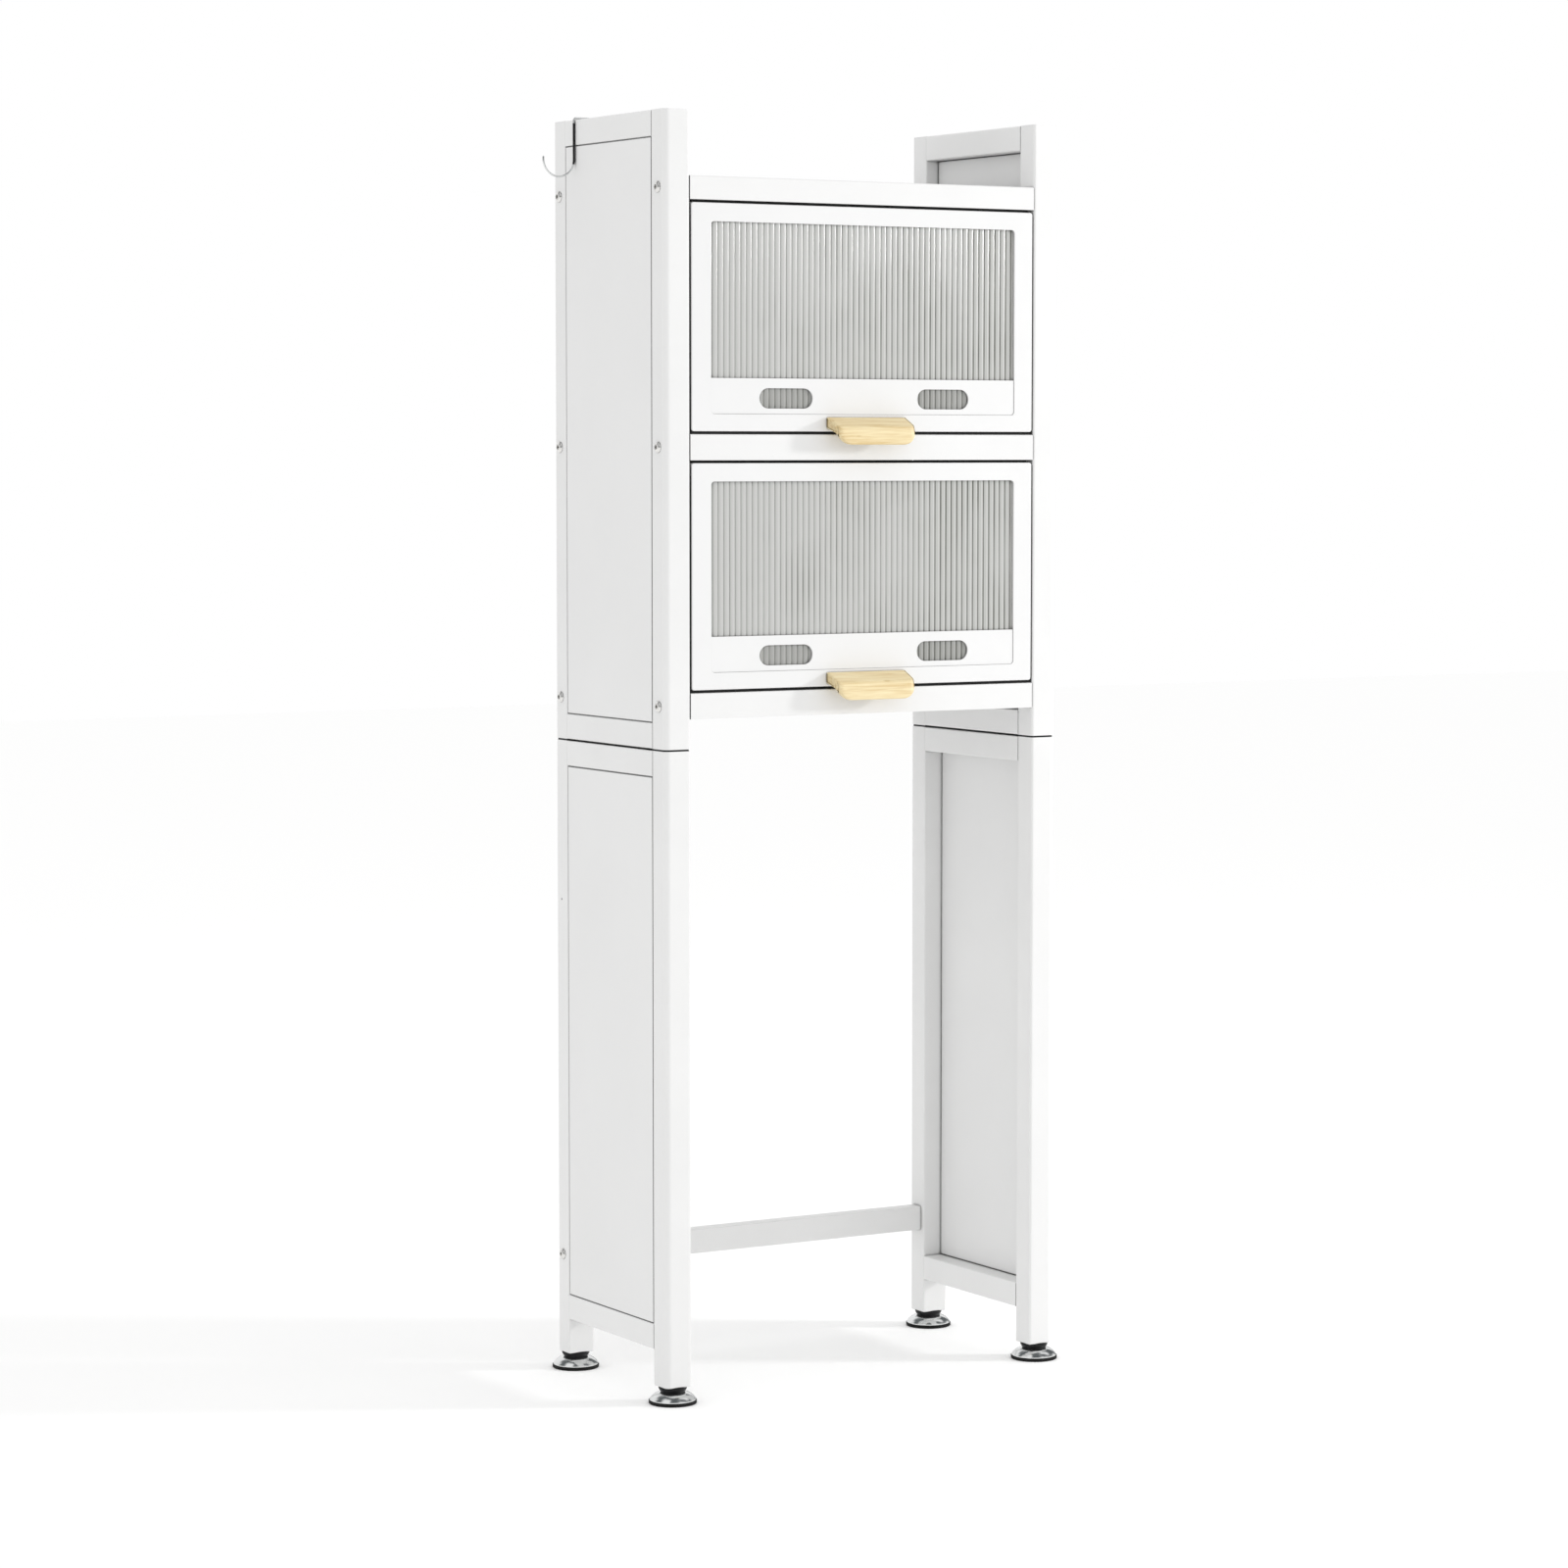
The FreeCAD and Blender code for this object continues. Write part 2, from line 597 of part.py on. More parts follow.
def fasteners():
    places = [
        (f"{side}_{end}_{name}", side, f"{sign} * {POST_Y}", f"({top} - {lip} / 2)")
        for side in SIDES for end, sign in ENDS.items() for name, (top, lip) in SHELVES.items()
    ]
    places += [(f"{side}_crossbar", side, POST_Y, "Sizes.crossbar_middle") for side in SIDES]
    group("frame_bolts", [button_bolt(f"{name}_bolt", *where) for name, *where in places])
    group("rivet_nuts", [rivet_nut(f"{name}_nut", *where) for name, *where in places])


# ---- doors ----------------------------------------------------------------------------------
# A door is modelled with its front face at Y = 0 and its lower edge at Z = 0.

def place_on_door(shape_object, level, rotation=None):
    z = f"{CABINETS[level]} + Sizes.door_gap"
    return place(shape_object, y="-Sizes.depth / 2", z=z, rotation=rotation)


def door_frame(level):
    """A moulded frame with a window, rebated from behind for the reeded sheet."""
    body = new_body(f"{level}_door_frame")
    outline = rectangle(sketch_on(body, "XZ_Plane"), f"-{DOOR_HALF}", DOOR_HALF,
                        "0", "Sizes.door_height")
    pad(body, outline, "Sizes.door_thickness", backwards=True)
    fillet(body, "Sizes.door_corner_round", FORE_AND_AFT)
    fillet(body, "Sizes.door_edge_round", lambda edge: abs(edge.CenterOfMass.y) < 0.01)
    window = rectangle(sketch_on(body, "XZ_Plane"), f"-{WINDOW_HALF}", WINDOW_HALF,
                       "Sizes.bottom_rail", "Sizes.door_height - Sizes.top_rail")
    pocket(body, window)
    inside = value(WINDOW_HALF) + 1
    fillet(body, "Sizes.window_round",
           lambda edge: FORE_AND_AFT(edge) and abs(edge.CenterOfMass.x) < inside)
    rebate = rectangle(
        sketch_on(body, "XZ_Plane", "-Sizes.front_skin"),
        f"-({WINDOW_HALF} + Sizes.rebate)", f"({WINDOW_HALF} + Sizes.rebate)",
        "Sizes.bottom_rail - Sizes.rebate",
        "Sizes.door_height - Sizes.top_rail + Sizes.rebate",
    )
    pocket(body, rebate)
    pivot = [("Sizes.hinge_back", "Sizes.door_height - Sizes.hinge_drop")]
    for sign in SIDES.values():
        sketch = sketch_on(body, "YZ_Plane", f"{sign} * {DOOR_HALF}")
        circles(sketch, pivot, "Sizes.pin_diameter")
        pocket(body, sketch, "Sizes.pin_in_door", backwards=sign < 0)
    screws = [(f"{sign} * Sizes.handle_screw_spread / 2", "Sizes.handle_screw_lift")
              for sign in SIDES.values()]
    pocket(body, circles(sketch_on(body, "XZ_Plane"), screws, "Sizes.handle_screw"))
    return sub_part(place_on_door(body, level))


def door_band(level):
    """A strip behind the frame's opening, below the window, with two finger-sized slots."""
    body = new_body(f"{level}_door_band")
    half = f"({WINDOW_HALF} - Sizes.band_gap)"
    outline = rectangle(
        sketch_on(body, "XZ_Plane", "-Sizes.band_set_back"), f"-{half}", half,
        "Sizes.bottom_rail + Sizes.band_gap", "Sizes.bottom_rail + Sizes.band_height",
    )
    pad(body, outline, "Sizes.front_skin - Sizes.band_set_back", backwards=True)
    fillet(body, "Sizes.window_round - Sizes.band_gap", lambda edge: (
        FORE_AND_AFT(edge) and edge.CenterOfMass.z < value("Sizes.bottom_rail") + 1))
    for sign in SIDES.values():
        middle = f"({sign} * Sizes.slot_spread / 2)"
        slot = rectangle(
            sketch_on(body, "XZ_Plane"),
            f"{middle} - Sizes.slot_width / 2", f"{middle} + Sizes.slot_width / 2",
            "Sizes.slot_lift - Sizes.slot_height / 2", "Sizes.slot_lift + Sizes.slot_height / 2",
        )
        pocket(body, slot)
    reach = value("Sizes.slot_spread / 2 + Sizes.slot_width / 2") + 1
    fillet(body, "Sizes.slot_height / 2 - 0.01",
           lambda edge: FORE_AND_AFT(edge) and abs(edge.CenterOfMass.x) < reach)
    return sub_part(place_on_door(body, level))


def door_sheet(level):
    """The reeded sheet that fills the frame's rebate."""
    body = new_body(f"{level}_door_reeded_sheet")
    inset = "(Sizes.rebate - Sizes.band_gap)"
    outline = rectangle(
        sketch_on(body, "XZ_Plane", "-Sizes.front_skin"),
        f"-({WINDOW_HALF} + {inset})", f"({WINDOW_HALF} + {inset})",
        f"Sizes.bottom_rail - {inset}", f"Sizes.door_height - Sizes.top_rail + {inset}",
    )
    pad(body, outline, "Sizes.sheet_thickness", backwards=True)
    return sub_part(place_on_door(body, level))


def door_seal(level):
    """A black strip round the door's edge that nearly closes the gap: up both sides and under
    the door near its front, and along its top in line with the pivots."""
    around = new_body(f"{level}_seal_sides")
    out = "(Sizes.door_side_gap - Sizes.seal_slack)"
    over = "(Sizes.door_gap - Sizes.seal_slack)"
    below_pivot = ("Sizes.door_height - Sizes.hinge_drop"
                   " - Sizes.bush_flange_diameter / 2 - Sizes.seal_slack")
    pad(around, rectangle(
        sketch_on(around, "XZ_Plane", "-Sizes.seal_set_back"),
        f"-({DOOR_HALF} + {out})", f"({DOOR_HALF} + {out})", f"-{over}", below_pivot,
    ), "Sizes.seal_depth", backwards=True)
    pocket(around, rectangle(sketch_on(around, "XZ_Plane"), f"-{DOOR_HALF}", DOOR_HALF,
                             "0", "Sizes.door_height"))
    fillet(around, "Sizes.door_corner_round", lambda edge: (
        FORE_AND_AFT(edge) and abs(edge.CenterOfMass.z) < 0.01))
    top = new_body(f"{level}_seal_top")
    reach = f"({DOOR_HALF} - Sizes.door_corner_round)"
    pad(top, rectangle(
        sketch_on(top, "XZ_Plane", "-(Sizes.hinge_back - Sizes.seal_depth / 2)"),
        f"-{reach}", reach, "Sizes.door_height", f"Sizes.door_height + {over}",
    ), "Sizes.seal_depth", backwards=True)
    group(f"{level}_door_seal", [place_on_door(around, level), place_on_door(top, level)])


def door_handle(level):
    """A wooden grip: a sloping top, a lip that hangs below the door and a hollow for fingers."""
    body = new_body(f"{level}_door_handle")
    section = polygon(sketch_on(body, "YZ_Plane"), [
        ("0", "Sizes.handle_back_low"),
        ("0", "Sizes.handle_top"),
        ("-Sizes.ridge_reach", "Sizes.ridge_lift"),
        ("-Sizes.lip_reach", "-Sizes.lip_drop"),
        ("-(Sizes.lip_reach - Sizes.lip_thickness)", "-Sizes.lip_drop"),
        ("-Sizes.hollow_reach", "-Sizes.hollow_drop"),
    ])
    pad(body, section, "Sizes.handle_length", both_ways=True)
    ridge = Vector(0, -value("Sizes.ridge_reach"), value("Sizes.ridge_lift"))
    fillet(body, "Sizes.ridge_round", lambda edge: edge.CenterOfMass.distanceToPoint(ridge) < 0.1)
    lip_end, bottom = value("Sizes.handle_length / 2"), -value("Sizes.lip_drop")
    fillet(body, "Sizes.lip_corner_round", lambda edge: (
        abs(abs(edge.CenterOfMass.x) - lip_end) < 0.1
        and abs(edge.CenterOfMass.z - bottom) < 0.1))
    screws = [(f"{sign} * Sizes.handle_screw_spread / 2", "Sizes.handle_screw_lift")
              for sign in SIDES.values()]
    pocket(body, circles(sketch_on(body, "XZ_Plane"), screws, "Sizes.handle_screw"),
           "Sizes.handle_screw_bite", backwards=True)
    return sub_part(place_on_door(body, level))


def door_screws(level):
    """Two pan-head screws driven from behind the door into the handle."""
    members = []
    for side, sign in SIDES.items():
        name = f"{level}_{side}_handle_screw"
        length = "(Sizes.door_thickness + Sizes.handle_screw_bite)"
        shank = primitive("Part::Cylinder", f"{name}_shank",
                          Radius="Sizes.handle_screw / 2", Height=length)
        head = primitive("Part::Cylinder", f"{name}_head",
                         Radius="Sizes.handle_screw_head / 2",
                         Height="Sizes.handle_screw_head_height")
        place(head, z=length)
        screw = boolean("Part::Fuse", name, shank, head)
        members.append(place(
            screw, f"{sign} * Sizes.handle_screw_spread / 2",
            "-Sizes.depth / 2 - Sizes.handle_screw_bite",
            f"{CABINETS[level]} + Sizes.door_gap + Sizes.handle_screw_lift",
            Rotation(Vector(1, 0, 0), -90),
        ))
    group(f"{level}_door_handle_screws", members)


def pivot_height(level):
    return f"({CABINETS[level]} + {DOOR_SPACE} - Sizes.door_gap - Sizes.hinge_drop)"


PIVOT_Y = "(-Sizes.depth / 2 + Sizes.hinge_back)"


def door_pins(level):
    """The two round pins that carry a door, set in its ends."""
    members = []
    for side, sign in SIDES.items():
        pin = primitive(
            "Part::Cylinder", f"{level}_{side}_pin", Radius="Sizes.pin_diameter / 2",
            Height="Sizes.pin_in_door + Sizes.door_side_gap + Sizes.pin_in_post",
        )
        x = f"{sign} * ({DOOR_HALF} - Sizes.pin_in_door)"
        members.append(place(pin, x, PIVOT_Y, pivot_height(level), outward(side)))
    group(f"{level}_door_pivot_pins", members)


def hinge_bush(level, side):
    """A flanged nylon bush in a post, in which a door's pin turns."""
    name = f"{level}_{side}_bush"
    reach = "(Sizes.bush_flange + Sizes.pin_in_post)"
    barrel = primitive("Part::Cylinder", f"{name}_barrel",
                       Radius="Sizes.bush_diameter / 2", Height=reach)
    flange = primitive("Part::Cylinder", f"{name}_flange",
                       Radius="Sizes.bush_flange_diameter / 2", Height="Sizes.bush_flange")
    bore = primitive("Part::Cylinder", f"{name}_bore",
                     Radius="Sizes.pin_diameter / 2 + Sizes.running_slack", Height=reach)
    bush = boolean("Part::Cut", name, boolean("Part::Fuse", f"{name}_blank", barrel, flange), bore)
    x = f"{SIDES[side]} * ({CLEAR_HALF} - Sizes.bush_flange)"
    return place(bush, x, PIVOT_Y, pivot_height(level), outward(side))


def door_stop(level, side):
    """A small block on a front post, just behind a closed door's lower corner."""
    stop = primitive("Part::Box", f"{level}_{side}_stop", Length="Sizes.stop_width",
                     Width="Sizes.stop_depth", Height="Sizes.stop_height")
    x = f"-{CLEAR_HALF}" if side == "left" else f"{CLEAR_HALF} - Sizes.stop_width"
    y = "-Sizes.depth / 2 + Sizes.door_thickness + Sizes.stop_gap"
    z = f"{CABINETS[level]} + Sizes.door_gap + Sizes.stop_lift"
    return place(stop, x, y, z)


def doors():
    for level in CABINETS:
        door_frame(level)
        door_band(level)
        door_sheet(level)
        door_seal(level)
        door_handle(level)
        door_screws(level)
        door_pins(level)
    corners = [(level, side) for level in CABINETS for side in SIDES]
    group("hinge_bushes", [hinge_bush(*corner) for corner in corners])
    group("door_stops", [door_stop(*corner) for corner in corners])


# ---- levelling feet -------------------------------------------------------------------------

def turned(label, profile):
    """A solid of revolution about its own Z axis, from a polygon of radius and height."""
    body = new_body(label)
    revolve(body, polygon(sketch_on(body, "XZ_Plane"), profile))
    return body


def foot_pad(label):
    """A rubber disc with a low boss in the middle."""
    return turned(label, [
        ("0", "0"),
        ("Sizes.pad_radius - Sizes.pad_chamfer", "0"),
        ("Sizes.pad_radius", "Sizes.pad_chamfer"),
        ("Sizes.pad_radius", "Sizes.pad_height"),
        ("Sizes.boss_radius", "Sizes.pad_height"),
        ("Sizes.boss_radius", "Sizes.boss_height"),
        ("0", "Sizes.boss_height"),
    ])


def foot_dome(label):
    """A pressed dome over the pad, curved from its upright rim to the collar."""
    body = new_body(label)
    sketch = sketch_on(body, "XZ_Plane")
    rim, neck = "Sizes.dome_radius", "Sizes.boss_radius"
    low, high = "Sizes.pad_height", "Sizes.dome_top"
    outside = arc(sketch, (rim, f"{low} + Sizes.dome_edge"), (neck, high), "Sizes.dome_curve")
    inside = arc(sketch, (f"{rim} - Sizes.dome_wall", low), (neck, f"{high} - Sizes.dome_wall"),
                 "Sizes.dome_curve")
    edge = join(sketch, (rim, low), (outside, 1))
    join(sketch, (outside, 2), (inside, 2))
    join(sketch, (inside, 1), (edge, 1))
    revolve(body, sketch)
    return body


def foot_stem(label):
    """The threaded stud with its moulded collar, which narrows towards the dome."""
    collar_top = "Sizes.post_bottom - Sizes.foot_clearance"
    return turned(label, [
        ("0", "Sizes.boss_height"),
        ("Sizes.boss_radius", "Sizes.boss_height"),
        ("Sizes.boss_radius", "Sizes.dome_top"),
        ("Sizes.collar_waist", f"(Sizes.dome_top + {collar_top}) / 2"),
        ("Sizes.collar_radius", f"{collar_top} - 1"),
        ("Sizes.collar_radius", collar_top),
        ("Sizes.stud_diameter / 2", collar_top),
        ("Sizes.stud_diameter / 2", "Sizes.stud_top"),
        ("0", "Sizes.stud_top"),
    ])


def feet():
    makers = {"pad": foot_pad, "dome": foot_dome, "stem": foot_stem}
    for side, across in SIDES.items():
        for end, along_y in ENDS.items():
            for piece, make in makers.items():
                body = make(f"{end}_{side}_foot_{piece}")
                sub_part(place(body, f"{across} * {POST_X}", f"{along_y} * {POST_Y}"))


# ---- side hook ------------------------------------------------------------------------------

def hook_path():
    """The wire's centre line in an upright plane, from the tip of its inner leg to its end."""
    sketch = DOC.addObject("Sketcher::SketchObject", "side_hook_path")
    place(sketch, y=HOOK_Y, rotation=Rotation(Vector(1, 0, 0), 90))
    corner, bowl = "Sizes.hook_corner", "Sizes.hook_bowl_radius"
    low, end = f"({HOOK_BEND} - {bowl})", f"({HOOK_OUTER} - 2 * {bowl})"
    inner_bend = arc(sketch, (HOOK_INNER, f"{HOOK_OVER} - {corner}"),
                     (f"{HOOK_INNER} - {corner}", HOOK_OVER), corner)
    outer_bend = arc(sketch, (f"{HOOK_OUTER} + {corner}", HOOK_OVER),
                     (HOOK_OUTER, f"{HOOK_OVER} - {corner}"), corner)
    near_bowl = arc(sketch, (f"{HOOK_OUTER} - {bowl}", low), (HOOK_OUTER, HOOK_BEND), bowl)
    far_bowl = arc(sketch, (end, HOOK_BEND), (f"{HOOK_OUTER} - {bowl}", low), bowl)
    join(sketch, (HOOK_INNER, HOOK_TIP), (inner_bend, 1))
    join(sketch, (inner_bend, 2), (outer_bend, 1))
    join(sketch, (outer_bend, 2), (near_bowl, 2))
    join(sketch, (far_bowl, 1), (end, f"{HOOK_BEND} + Sizes.hook_tip_rise"))
    DOC.recompute()
    return sketch


def side_hook():
    """One bent wire: a short leg inside, over the left top rail, down outside and up in a J."""
    path = hook_path()
    section = place(primitive("Part::Circle", "side_hook_section", Radius="Sizes.wire_diameter / 2"),
                    HOOK_INNER, HOOK_Y, HOOK_TIP)
    hook = DOC.addObject("Part::Sweep", "side_hook")
    hook.Sections = [section]
    hook.Spine = (path, [f"Edge{number + 1}" for number in range(len(path.Shape.Edges))])
    hook.Solid = True
    return sub_part(hook)


# ---- build and write ------------------------------------------------------------------------

def check_document():
    DOC.recompute()
    for item in DOC.Objects:
        if "Invalid" in item.State or "Error" in item.State:
            raise RuntimeError(f"{item.Label} failed: {item.State}")
    for item in SUB_PARTS:
        if item.Shape.isNull() or not item.Shape.isValid() or not item.Shape.Solids:
            raise RuntimeError(f"{item.Label} has no valid solid")


def main():
    side_frames()
    for name, (surface, lip) in SHELVES.items():
        shelf(name, surface, lip)
    for level in CABINETS:
        back_panel(level)
    rear_crossbar()
    fasteners()
    doors()
    feet()
    side_hook()
    check_document()
    os.makedirs("parts", exist_ok=True)
    for item in SUB_PARTS:
        item.Shape.exportStep(f"parts/{item.Label}.step")
        solids = len(item.Shape.Solids)
        print(f"{item.Label}: {solids} solid(s), {item.Shape.Volume / 1000:.1f} cm3")


main()
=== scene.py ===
import json
import math

import bmesh
import bpy
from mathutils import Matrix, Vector


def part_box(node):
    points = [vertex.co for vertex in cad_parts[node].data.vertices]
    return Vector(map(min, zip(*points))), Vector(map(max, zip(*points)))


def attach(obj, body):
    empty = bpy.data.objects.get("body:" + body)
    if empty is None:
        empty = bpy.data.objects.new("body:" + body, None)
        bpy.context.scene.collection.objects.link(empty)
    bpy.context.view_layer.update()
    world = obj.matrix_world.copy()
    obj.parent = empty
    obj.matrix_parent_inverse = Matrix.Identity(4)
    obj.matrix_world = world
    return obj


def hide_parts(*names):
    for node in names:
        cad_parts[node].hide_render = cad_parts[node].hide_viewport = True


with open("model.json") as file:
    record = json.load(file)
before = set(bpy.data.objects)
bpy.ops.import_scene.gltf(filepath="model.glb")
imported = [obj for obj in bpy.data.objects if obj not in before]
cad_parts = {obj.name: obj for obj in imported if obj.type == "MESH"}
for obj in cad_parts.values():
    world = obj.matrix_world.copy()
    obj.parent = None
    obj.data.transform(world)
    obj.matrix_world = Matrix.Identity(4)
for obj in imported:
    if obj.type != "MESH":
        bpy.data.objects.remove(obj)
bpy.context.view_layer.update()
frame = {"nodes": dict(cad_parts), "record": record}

# The looks of an over-the-toilet storage rack, in metres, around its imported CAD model.

MM = 0.001
LEVELS = ("lower", "upper")
SIDES = {"left": -1, "right": 1}
REEDS = 56  # across one sheet


# ---- view and light -------------------------------------------------------------------------

def add_object(name, data):
    made = bpy.data.objects.new(name, data)
    bpy.context.scene.collection.objects.link(made)
    return made


def add_camera():
    """Looks at the rack from its front left, a little down from the height of its middle."""
    tilt_down, turn_right = 4.296, 30.759
    data = bpy.data.cameras.new("camera")
    data.sensor_width = 36
    data.lens = 102.46
    data.clip_end = 60
    camera = add_object("camera", data)
    camera.location = (-3.0727, -5.1049, 1.2312)
    camera.rotation_euler = (math.radians(90 - tilt_down), 0, math.radians(-turn_right))
    bpy.context.scene.camera = camera
    bpy.context.scene.view_settings.view_transform = "Standard"


def add_area(name, towards, distance, size, power, target=(0, 0, 0.9)):
    """A square lamp, at a distance from its target in a direction, that faces the target."""
    data = bpy.data.lights.new(name, "AREA")
    data.size, data.energy = size, power
    lamp = add_object(name, data)
    direction = Vector(towards).normalized()
    lamp.location = Vector(target) + direction * distance
    lamp.rotation_euler = direction.to_track_quat("Z", "Y").to_euler()


def add_world():
    """White all round; only mirror reflections also find a few grey studio flags."""
    world = bpy.data.worlds.new("studio")
    world.use_nodes = True
    bpy.context.scene.world = world
    nodes, links = world.node_tree.nodes, world.node_tree.links
    sky = nodes["Background"]
    sky.inputs["Color"].default_value = (1, 1, 1, 1)
    sky.inputs["Strength"].default_value = 1.0
    flags = nodes.new("ShaderNodeBackground")
    place = nodes.new("ShaderNodeTexCoord")
    waves = nodes.new("ShaderNodeTexNoise")
    waves.inputs["Scale"].default_value = 1.6
    waves.inputs["Detail"].default_value = 1.0
    links.new(place.outputs["Generated"], waves.inputs["Vector"])
    ramp = nodes.new("ShaderNodeValToRGB")
    ramp.color_ramp.elements[0].position = 0.4
    ramp.color_ramp.elements[0].color = (0.12, 0.13, 0.135, 1)
    ramp.color_ramp.elements[1].position = 0.53
    ramp.color_ramp.elements[1].color = (1, 1, 1, 1)
    links.new(waves.outputs["Fac"], ramp.inputs["Fac"])
    links.new(ramp.outputs["Color"], flags.inputs["Color"])
    path = nodes.new("ShaderNodeLightPath")
    mix = nodes.new("ShaderNodeMixShader")
    links.new(path.outputs["Is Glossy Ray"], mix.inputs["Fac"])
    links.new(sky.outputs["Background"], mix.inputs[1])
    links.new(flags.outputs["Background"], mix.inputs[2])
    links.new(mix.outputs["Shader"], nodes["World Output"].inputs["Surface"])


def add_floor():
    """A white studio floor that reaches far past the rack."""
    mesh = bpy.data.meshes.new("floor")
    reach = 14
    corners = [(-reach, -reach, 0), (reach, -reach, 0), (reach, reach, 0), (-reach, reach, 0)]
    mesh.from_pydata(corners, [], [(0, 1, 2, 3)])
    floor = add_object("floor", mesh)
    surface = Surface("floor_white", (0.985, 0.985, 0.983), 0.8, Specular_IOR_Level=0.0)
    surface.vary_roughness(surface.noise(40), 0.75, 0.9)
    mesh.materials.append(surface.material)


# ---- materials ------------------------------------------------------------------------------

class Surface:
    """A Principled material whose colour, roughness and relief come from textures that are
    fixed to the piece, in metres."""

    def __init__(self, name, colour, roughness, **values):
        self.material = bpy.data.materials.new(name)
        self.material.use_nodes = True
        tree = self.material.node_tree
        self.nodes, self.links = tree.nodes, tree.links
        self.shader = self.nodes["Principled BSDF"]
        self.place = self.nodes.new("ShaderNodeTexCoord").outputs["Object"]
        self.shader.inputs["Base Color"].default_value = (*colour, 1)
        self.shader.inputs["Roughness"].default_value = roughness
        for socket, value in values.items():
            self.shader.inputs[socket.replace("_", " ")].default_value = value

    def stretched(self, x=1, y=1, z=1):
        """Texture coordinates, closer together along the axes with the larger numbers."""
        mapping = self.nodes.new("ShaderNodeMapping")
        mapping.inputs["Scale"].default_value = (x, y, z)
        self.links.new(self.place, mapping.inputs["Vector"])
        return mapping.outputs["Vector"]

    def noise(self, scale, detail=2.0, distortion=0.0, place=None):
        """Soft random clouds, about as many to a metre as the scale says."""
        node = self.nodes.new("ShaderNodeTexNoise")
        node.inputs["Scale"].default_value = scale
        node.inputs["Detail"].default_value = detail
        node.inputs["Distortion"].default_value = distortion
        self.links.new(place or self.place, node.inputs["Vector"])
        return node.outputs["Fac"]

    def ramp(self, value, *stops):
        """Turns a value into a colour, through stops of position and colour."""
        node = self.nodes.new("ShaderNodeValToRGB")
        elements = node.color_ramp.elements
        while len(elements) < len(stops):
            elements.new(0.5)
        for element, (position, colour) in zip(elements, stops):
            element.position = position
            element.color = (*colour, 1)
        self.links.new(value, node.inputs["Fac"])
        return node.outputs["Color"]

    def blend(self, share, first, second):
        """Mixes two colours by a share, which may be a number."""
        node = self.nodes.new("ShaderNodeMix")
        node.data_type = "RGBA"
        self.feed(share, node.inputs["Factor"])
        self.feed(first, node.inputs["A"])
        self.feed(second, node.inputs["B"])
        return node.outputs["Result"]

    def sum_of(self, operation, first, second):
        """The result of a Math node; either value may be a number."""
        node = self.nodes.new("ShaderNodeMath")
        node.operation = operation
        self.feed(first, node.inputs[0])
        self.feed(second, node.inputs[1])
        return node.outputs["Value"]

    def along(self, axis):
        """The piece's own coordinate along an axis."""
        split = self.nodes.new("ShaderNodeSeparateXYZ")
        self.links.new(self.place, split.inputs["Vector"])
        return split.outputs[axis]

    def stripes(self, axis, start, pitch):
        """How far through its stripe a point is, from 0 to 1, for stripes along an axis."""
        steps = self.sum_of("DIVIDE", self.sum_of("SUBTRACT", self.along(axis), start), pitch)
        return self.sum_of("FRACT", steps, 0)

    def multiply(self, shade):
        """Darkens the colour by a shade of grey."""
        node = self.nodes.new("ShaderNodeMix")
        node.data_type = "RGBA"
        node.blend_type = "MULTIPLY"
        node.inputs["Factor"].default_value = 1.0
        self.links.new(self.shader.inputs["Base Color"].links[0].from_socket, node.inputs["A"])
        self.links.new(shade, node.inputs["B"])
        self.links.new(node.outputs["Result"], self.shader.inputs["Base Color"])

    def shade_crevices(self, distance, darkest, clear=0.8):
        """Darkens the colour with painted shade in gaps, grooves and inner corners."""
        shade = self.nodes.new("ShaderNodeAmbientOcclusion")
        shade.inputs["Distance"].default_value = distance
        shade.samples = 12
        self.multiply(self.ramp(shade.outputs["AO"], (0.3, (darkest,) * 3), (clear, (1, 1, 1))))

    def feed(self, source, socket):
        """Links a socket, or sets a colour or number, into an input."""
        if isinstance(source, bpy.types.NodeSocket):
            self.links.new(source, socket)
        elif isinstance(source, tuple):
            socket.default_value = (*source, 1)
        else:
            socket.default_value = source

    def scaled(self, value, low, high):
        """Maps a value from 0 to 1 onto a span from low to high."""
        node = self.nodes.new("ShaderNodeMapRange")
        node.inputs["To Min"].default_value = low
        node.inputs["To Max"].default_value = high
        self.links.new(value, node.inputs["Value"])
        return node.outputs["Result"]

    def colour(self, value):
        self.links.new(value, self.shader.inputs["Base Color"])

    def vary_roughness(self, value, low, high):
        self.links.new(self.scaled(value, low, high), self.shader.inputs["Roughness"])

    def relief(self, value, height, strength=1.0):
        """Adds a bump of a height in metres over whatever bump is there."""
        node = self.nodes.new("ShaderNodeBump")
        node.inputs["Distance"].default_value = height
        node.inputs["Strength"].default_value = strength
        self.links.new(value, node.inputs["Height"])
        normal = self.shader.inputs["Normal"]
        if normal.is_linked:
            self.links.new(normal.links[0].from_socket, node.inputs["Normal"])
        self.links.new(node.outputs["Normal"], normal)


def tinted(surface, colour, spread, scale):
    """Makes a colour a little lighter and darker in soft clouds."""
    darker = tuple(channel * (1 - spread) for channel in colour)
    lighter = tuple(min(1, channel * (1 + spread)) for channel in colour)
    surface.colour(surface.ramp(surface.noise(scale, 3), (0.35, darker), (0.65, lighter)))


def powder_coat():
    """White powder coating on sheet and tube, with a fine orange-peel relief."""
    white = (0.778, 0.778, 0.774)
    surface = Surface("powder_coat", white, 0.42, Specular_IOR_Level=0.45)
    tinted(surface, white, 0.012, 9)
    # painted shade in the coating's gaps, grooves and inner corners
    surface.shade_crevices(0.006, 0.25)
    surface.vary_roughness(surface.noise(160, 2), 0.36, 0.5)
    surface.relief(surface.noise(900, 2), 0.00006, 0.5)
    surface.relief(surface.noise(220, 1), 0.0001, 0.25)
    return surface.material


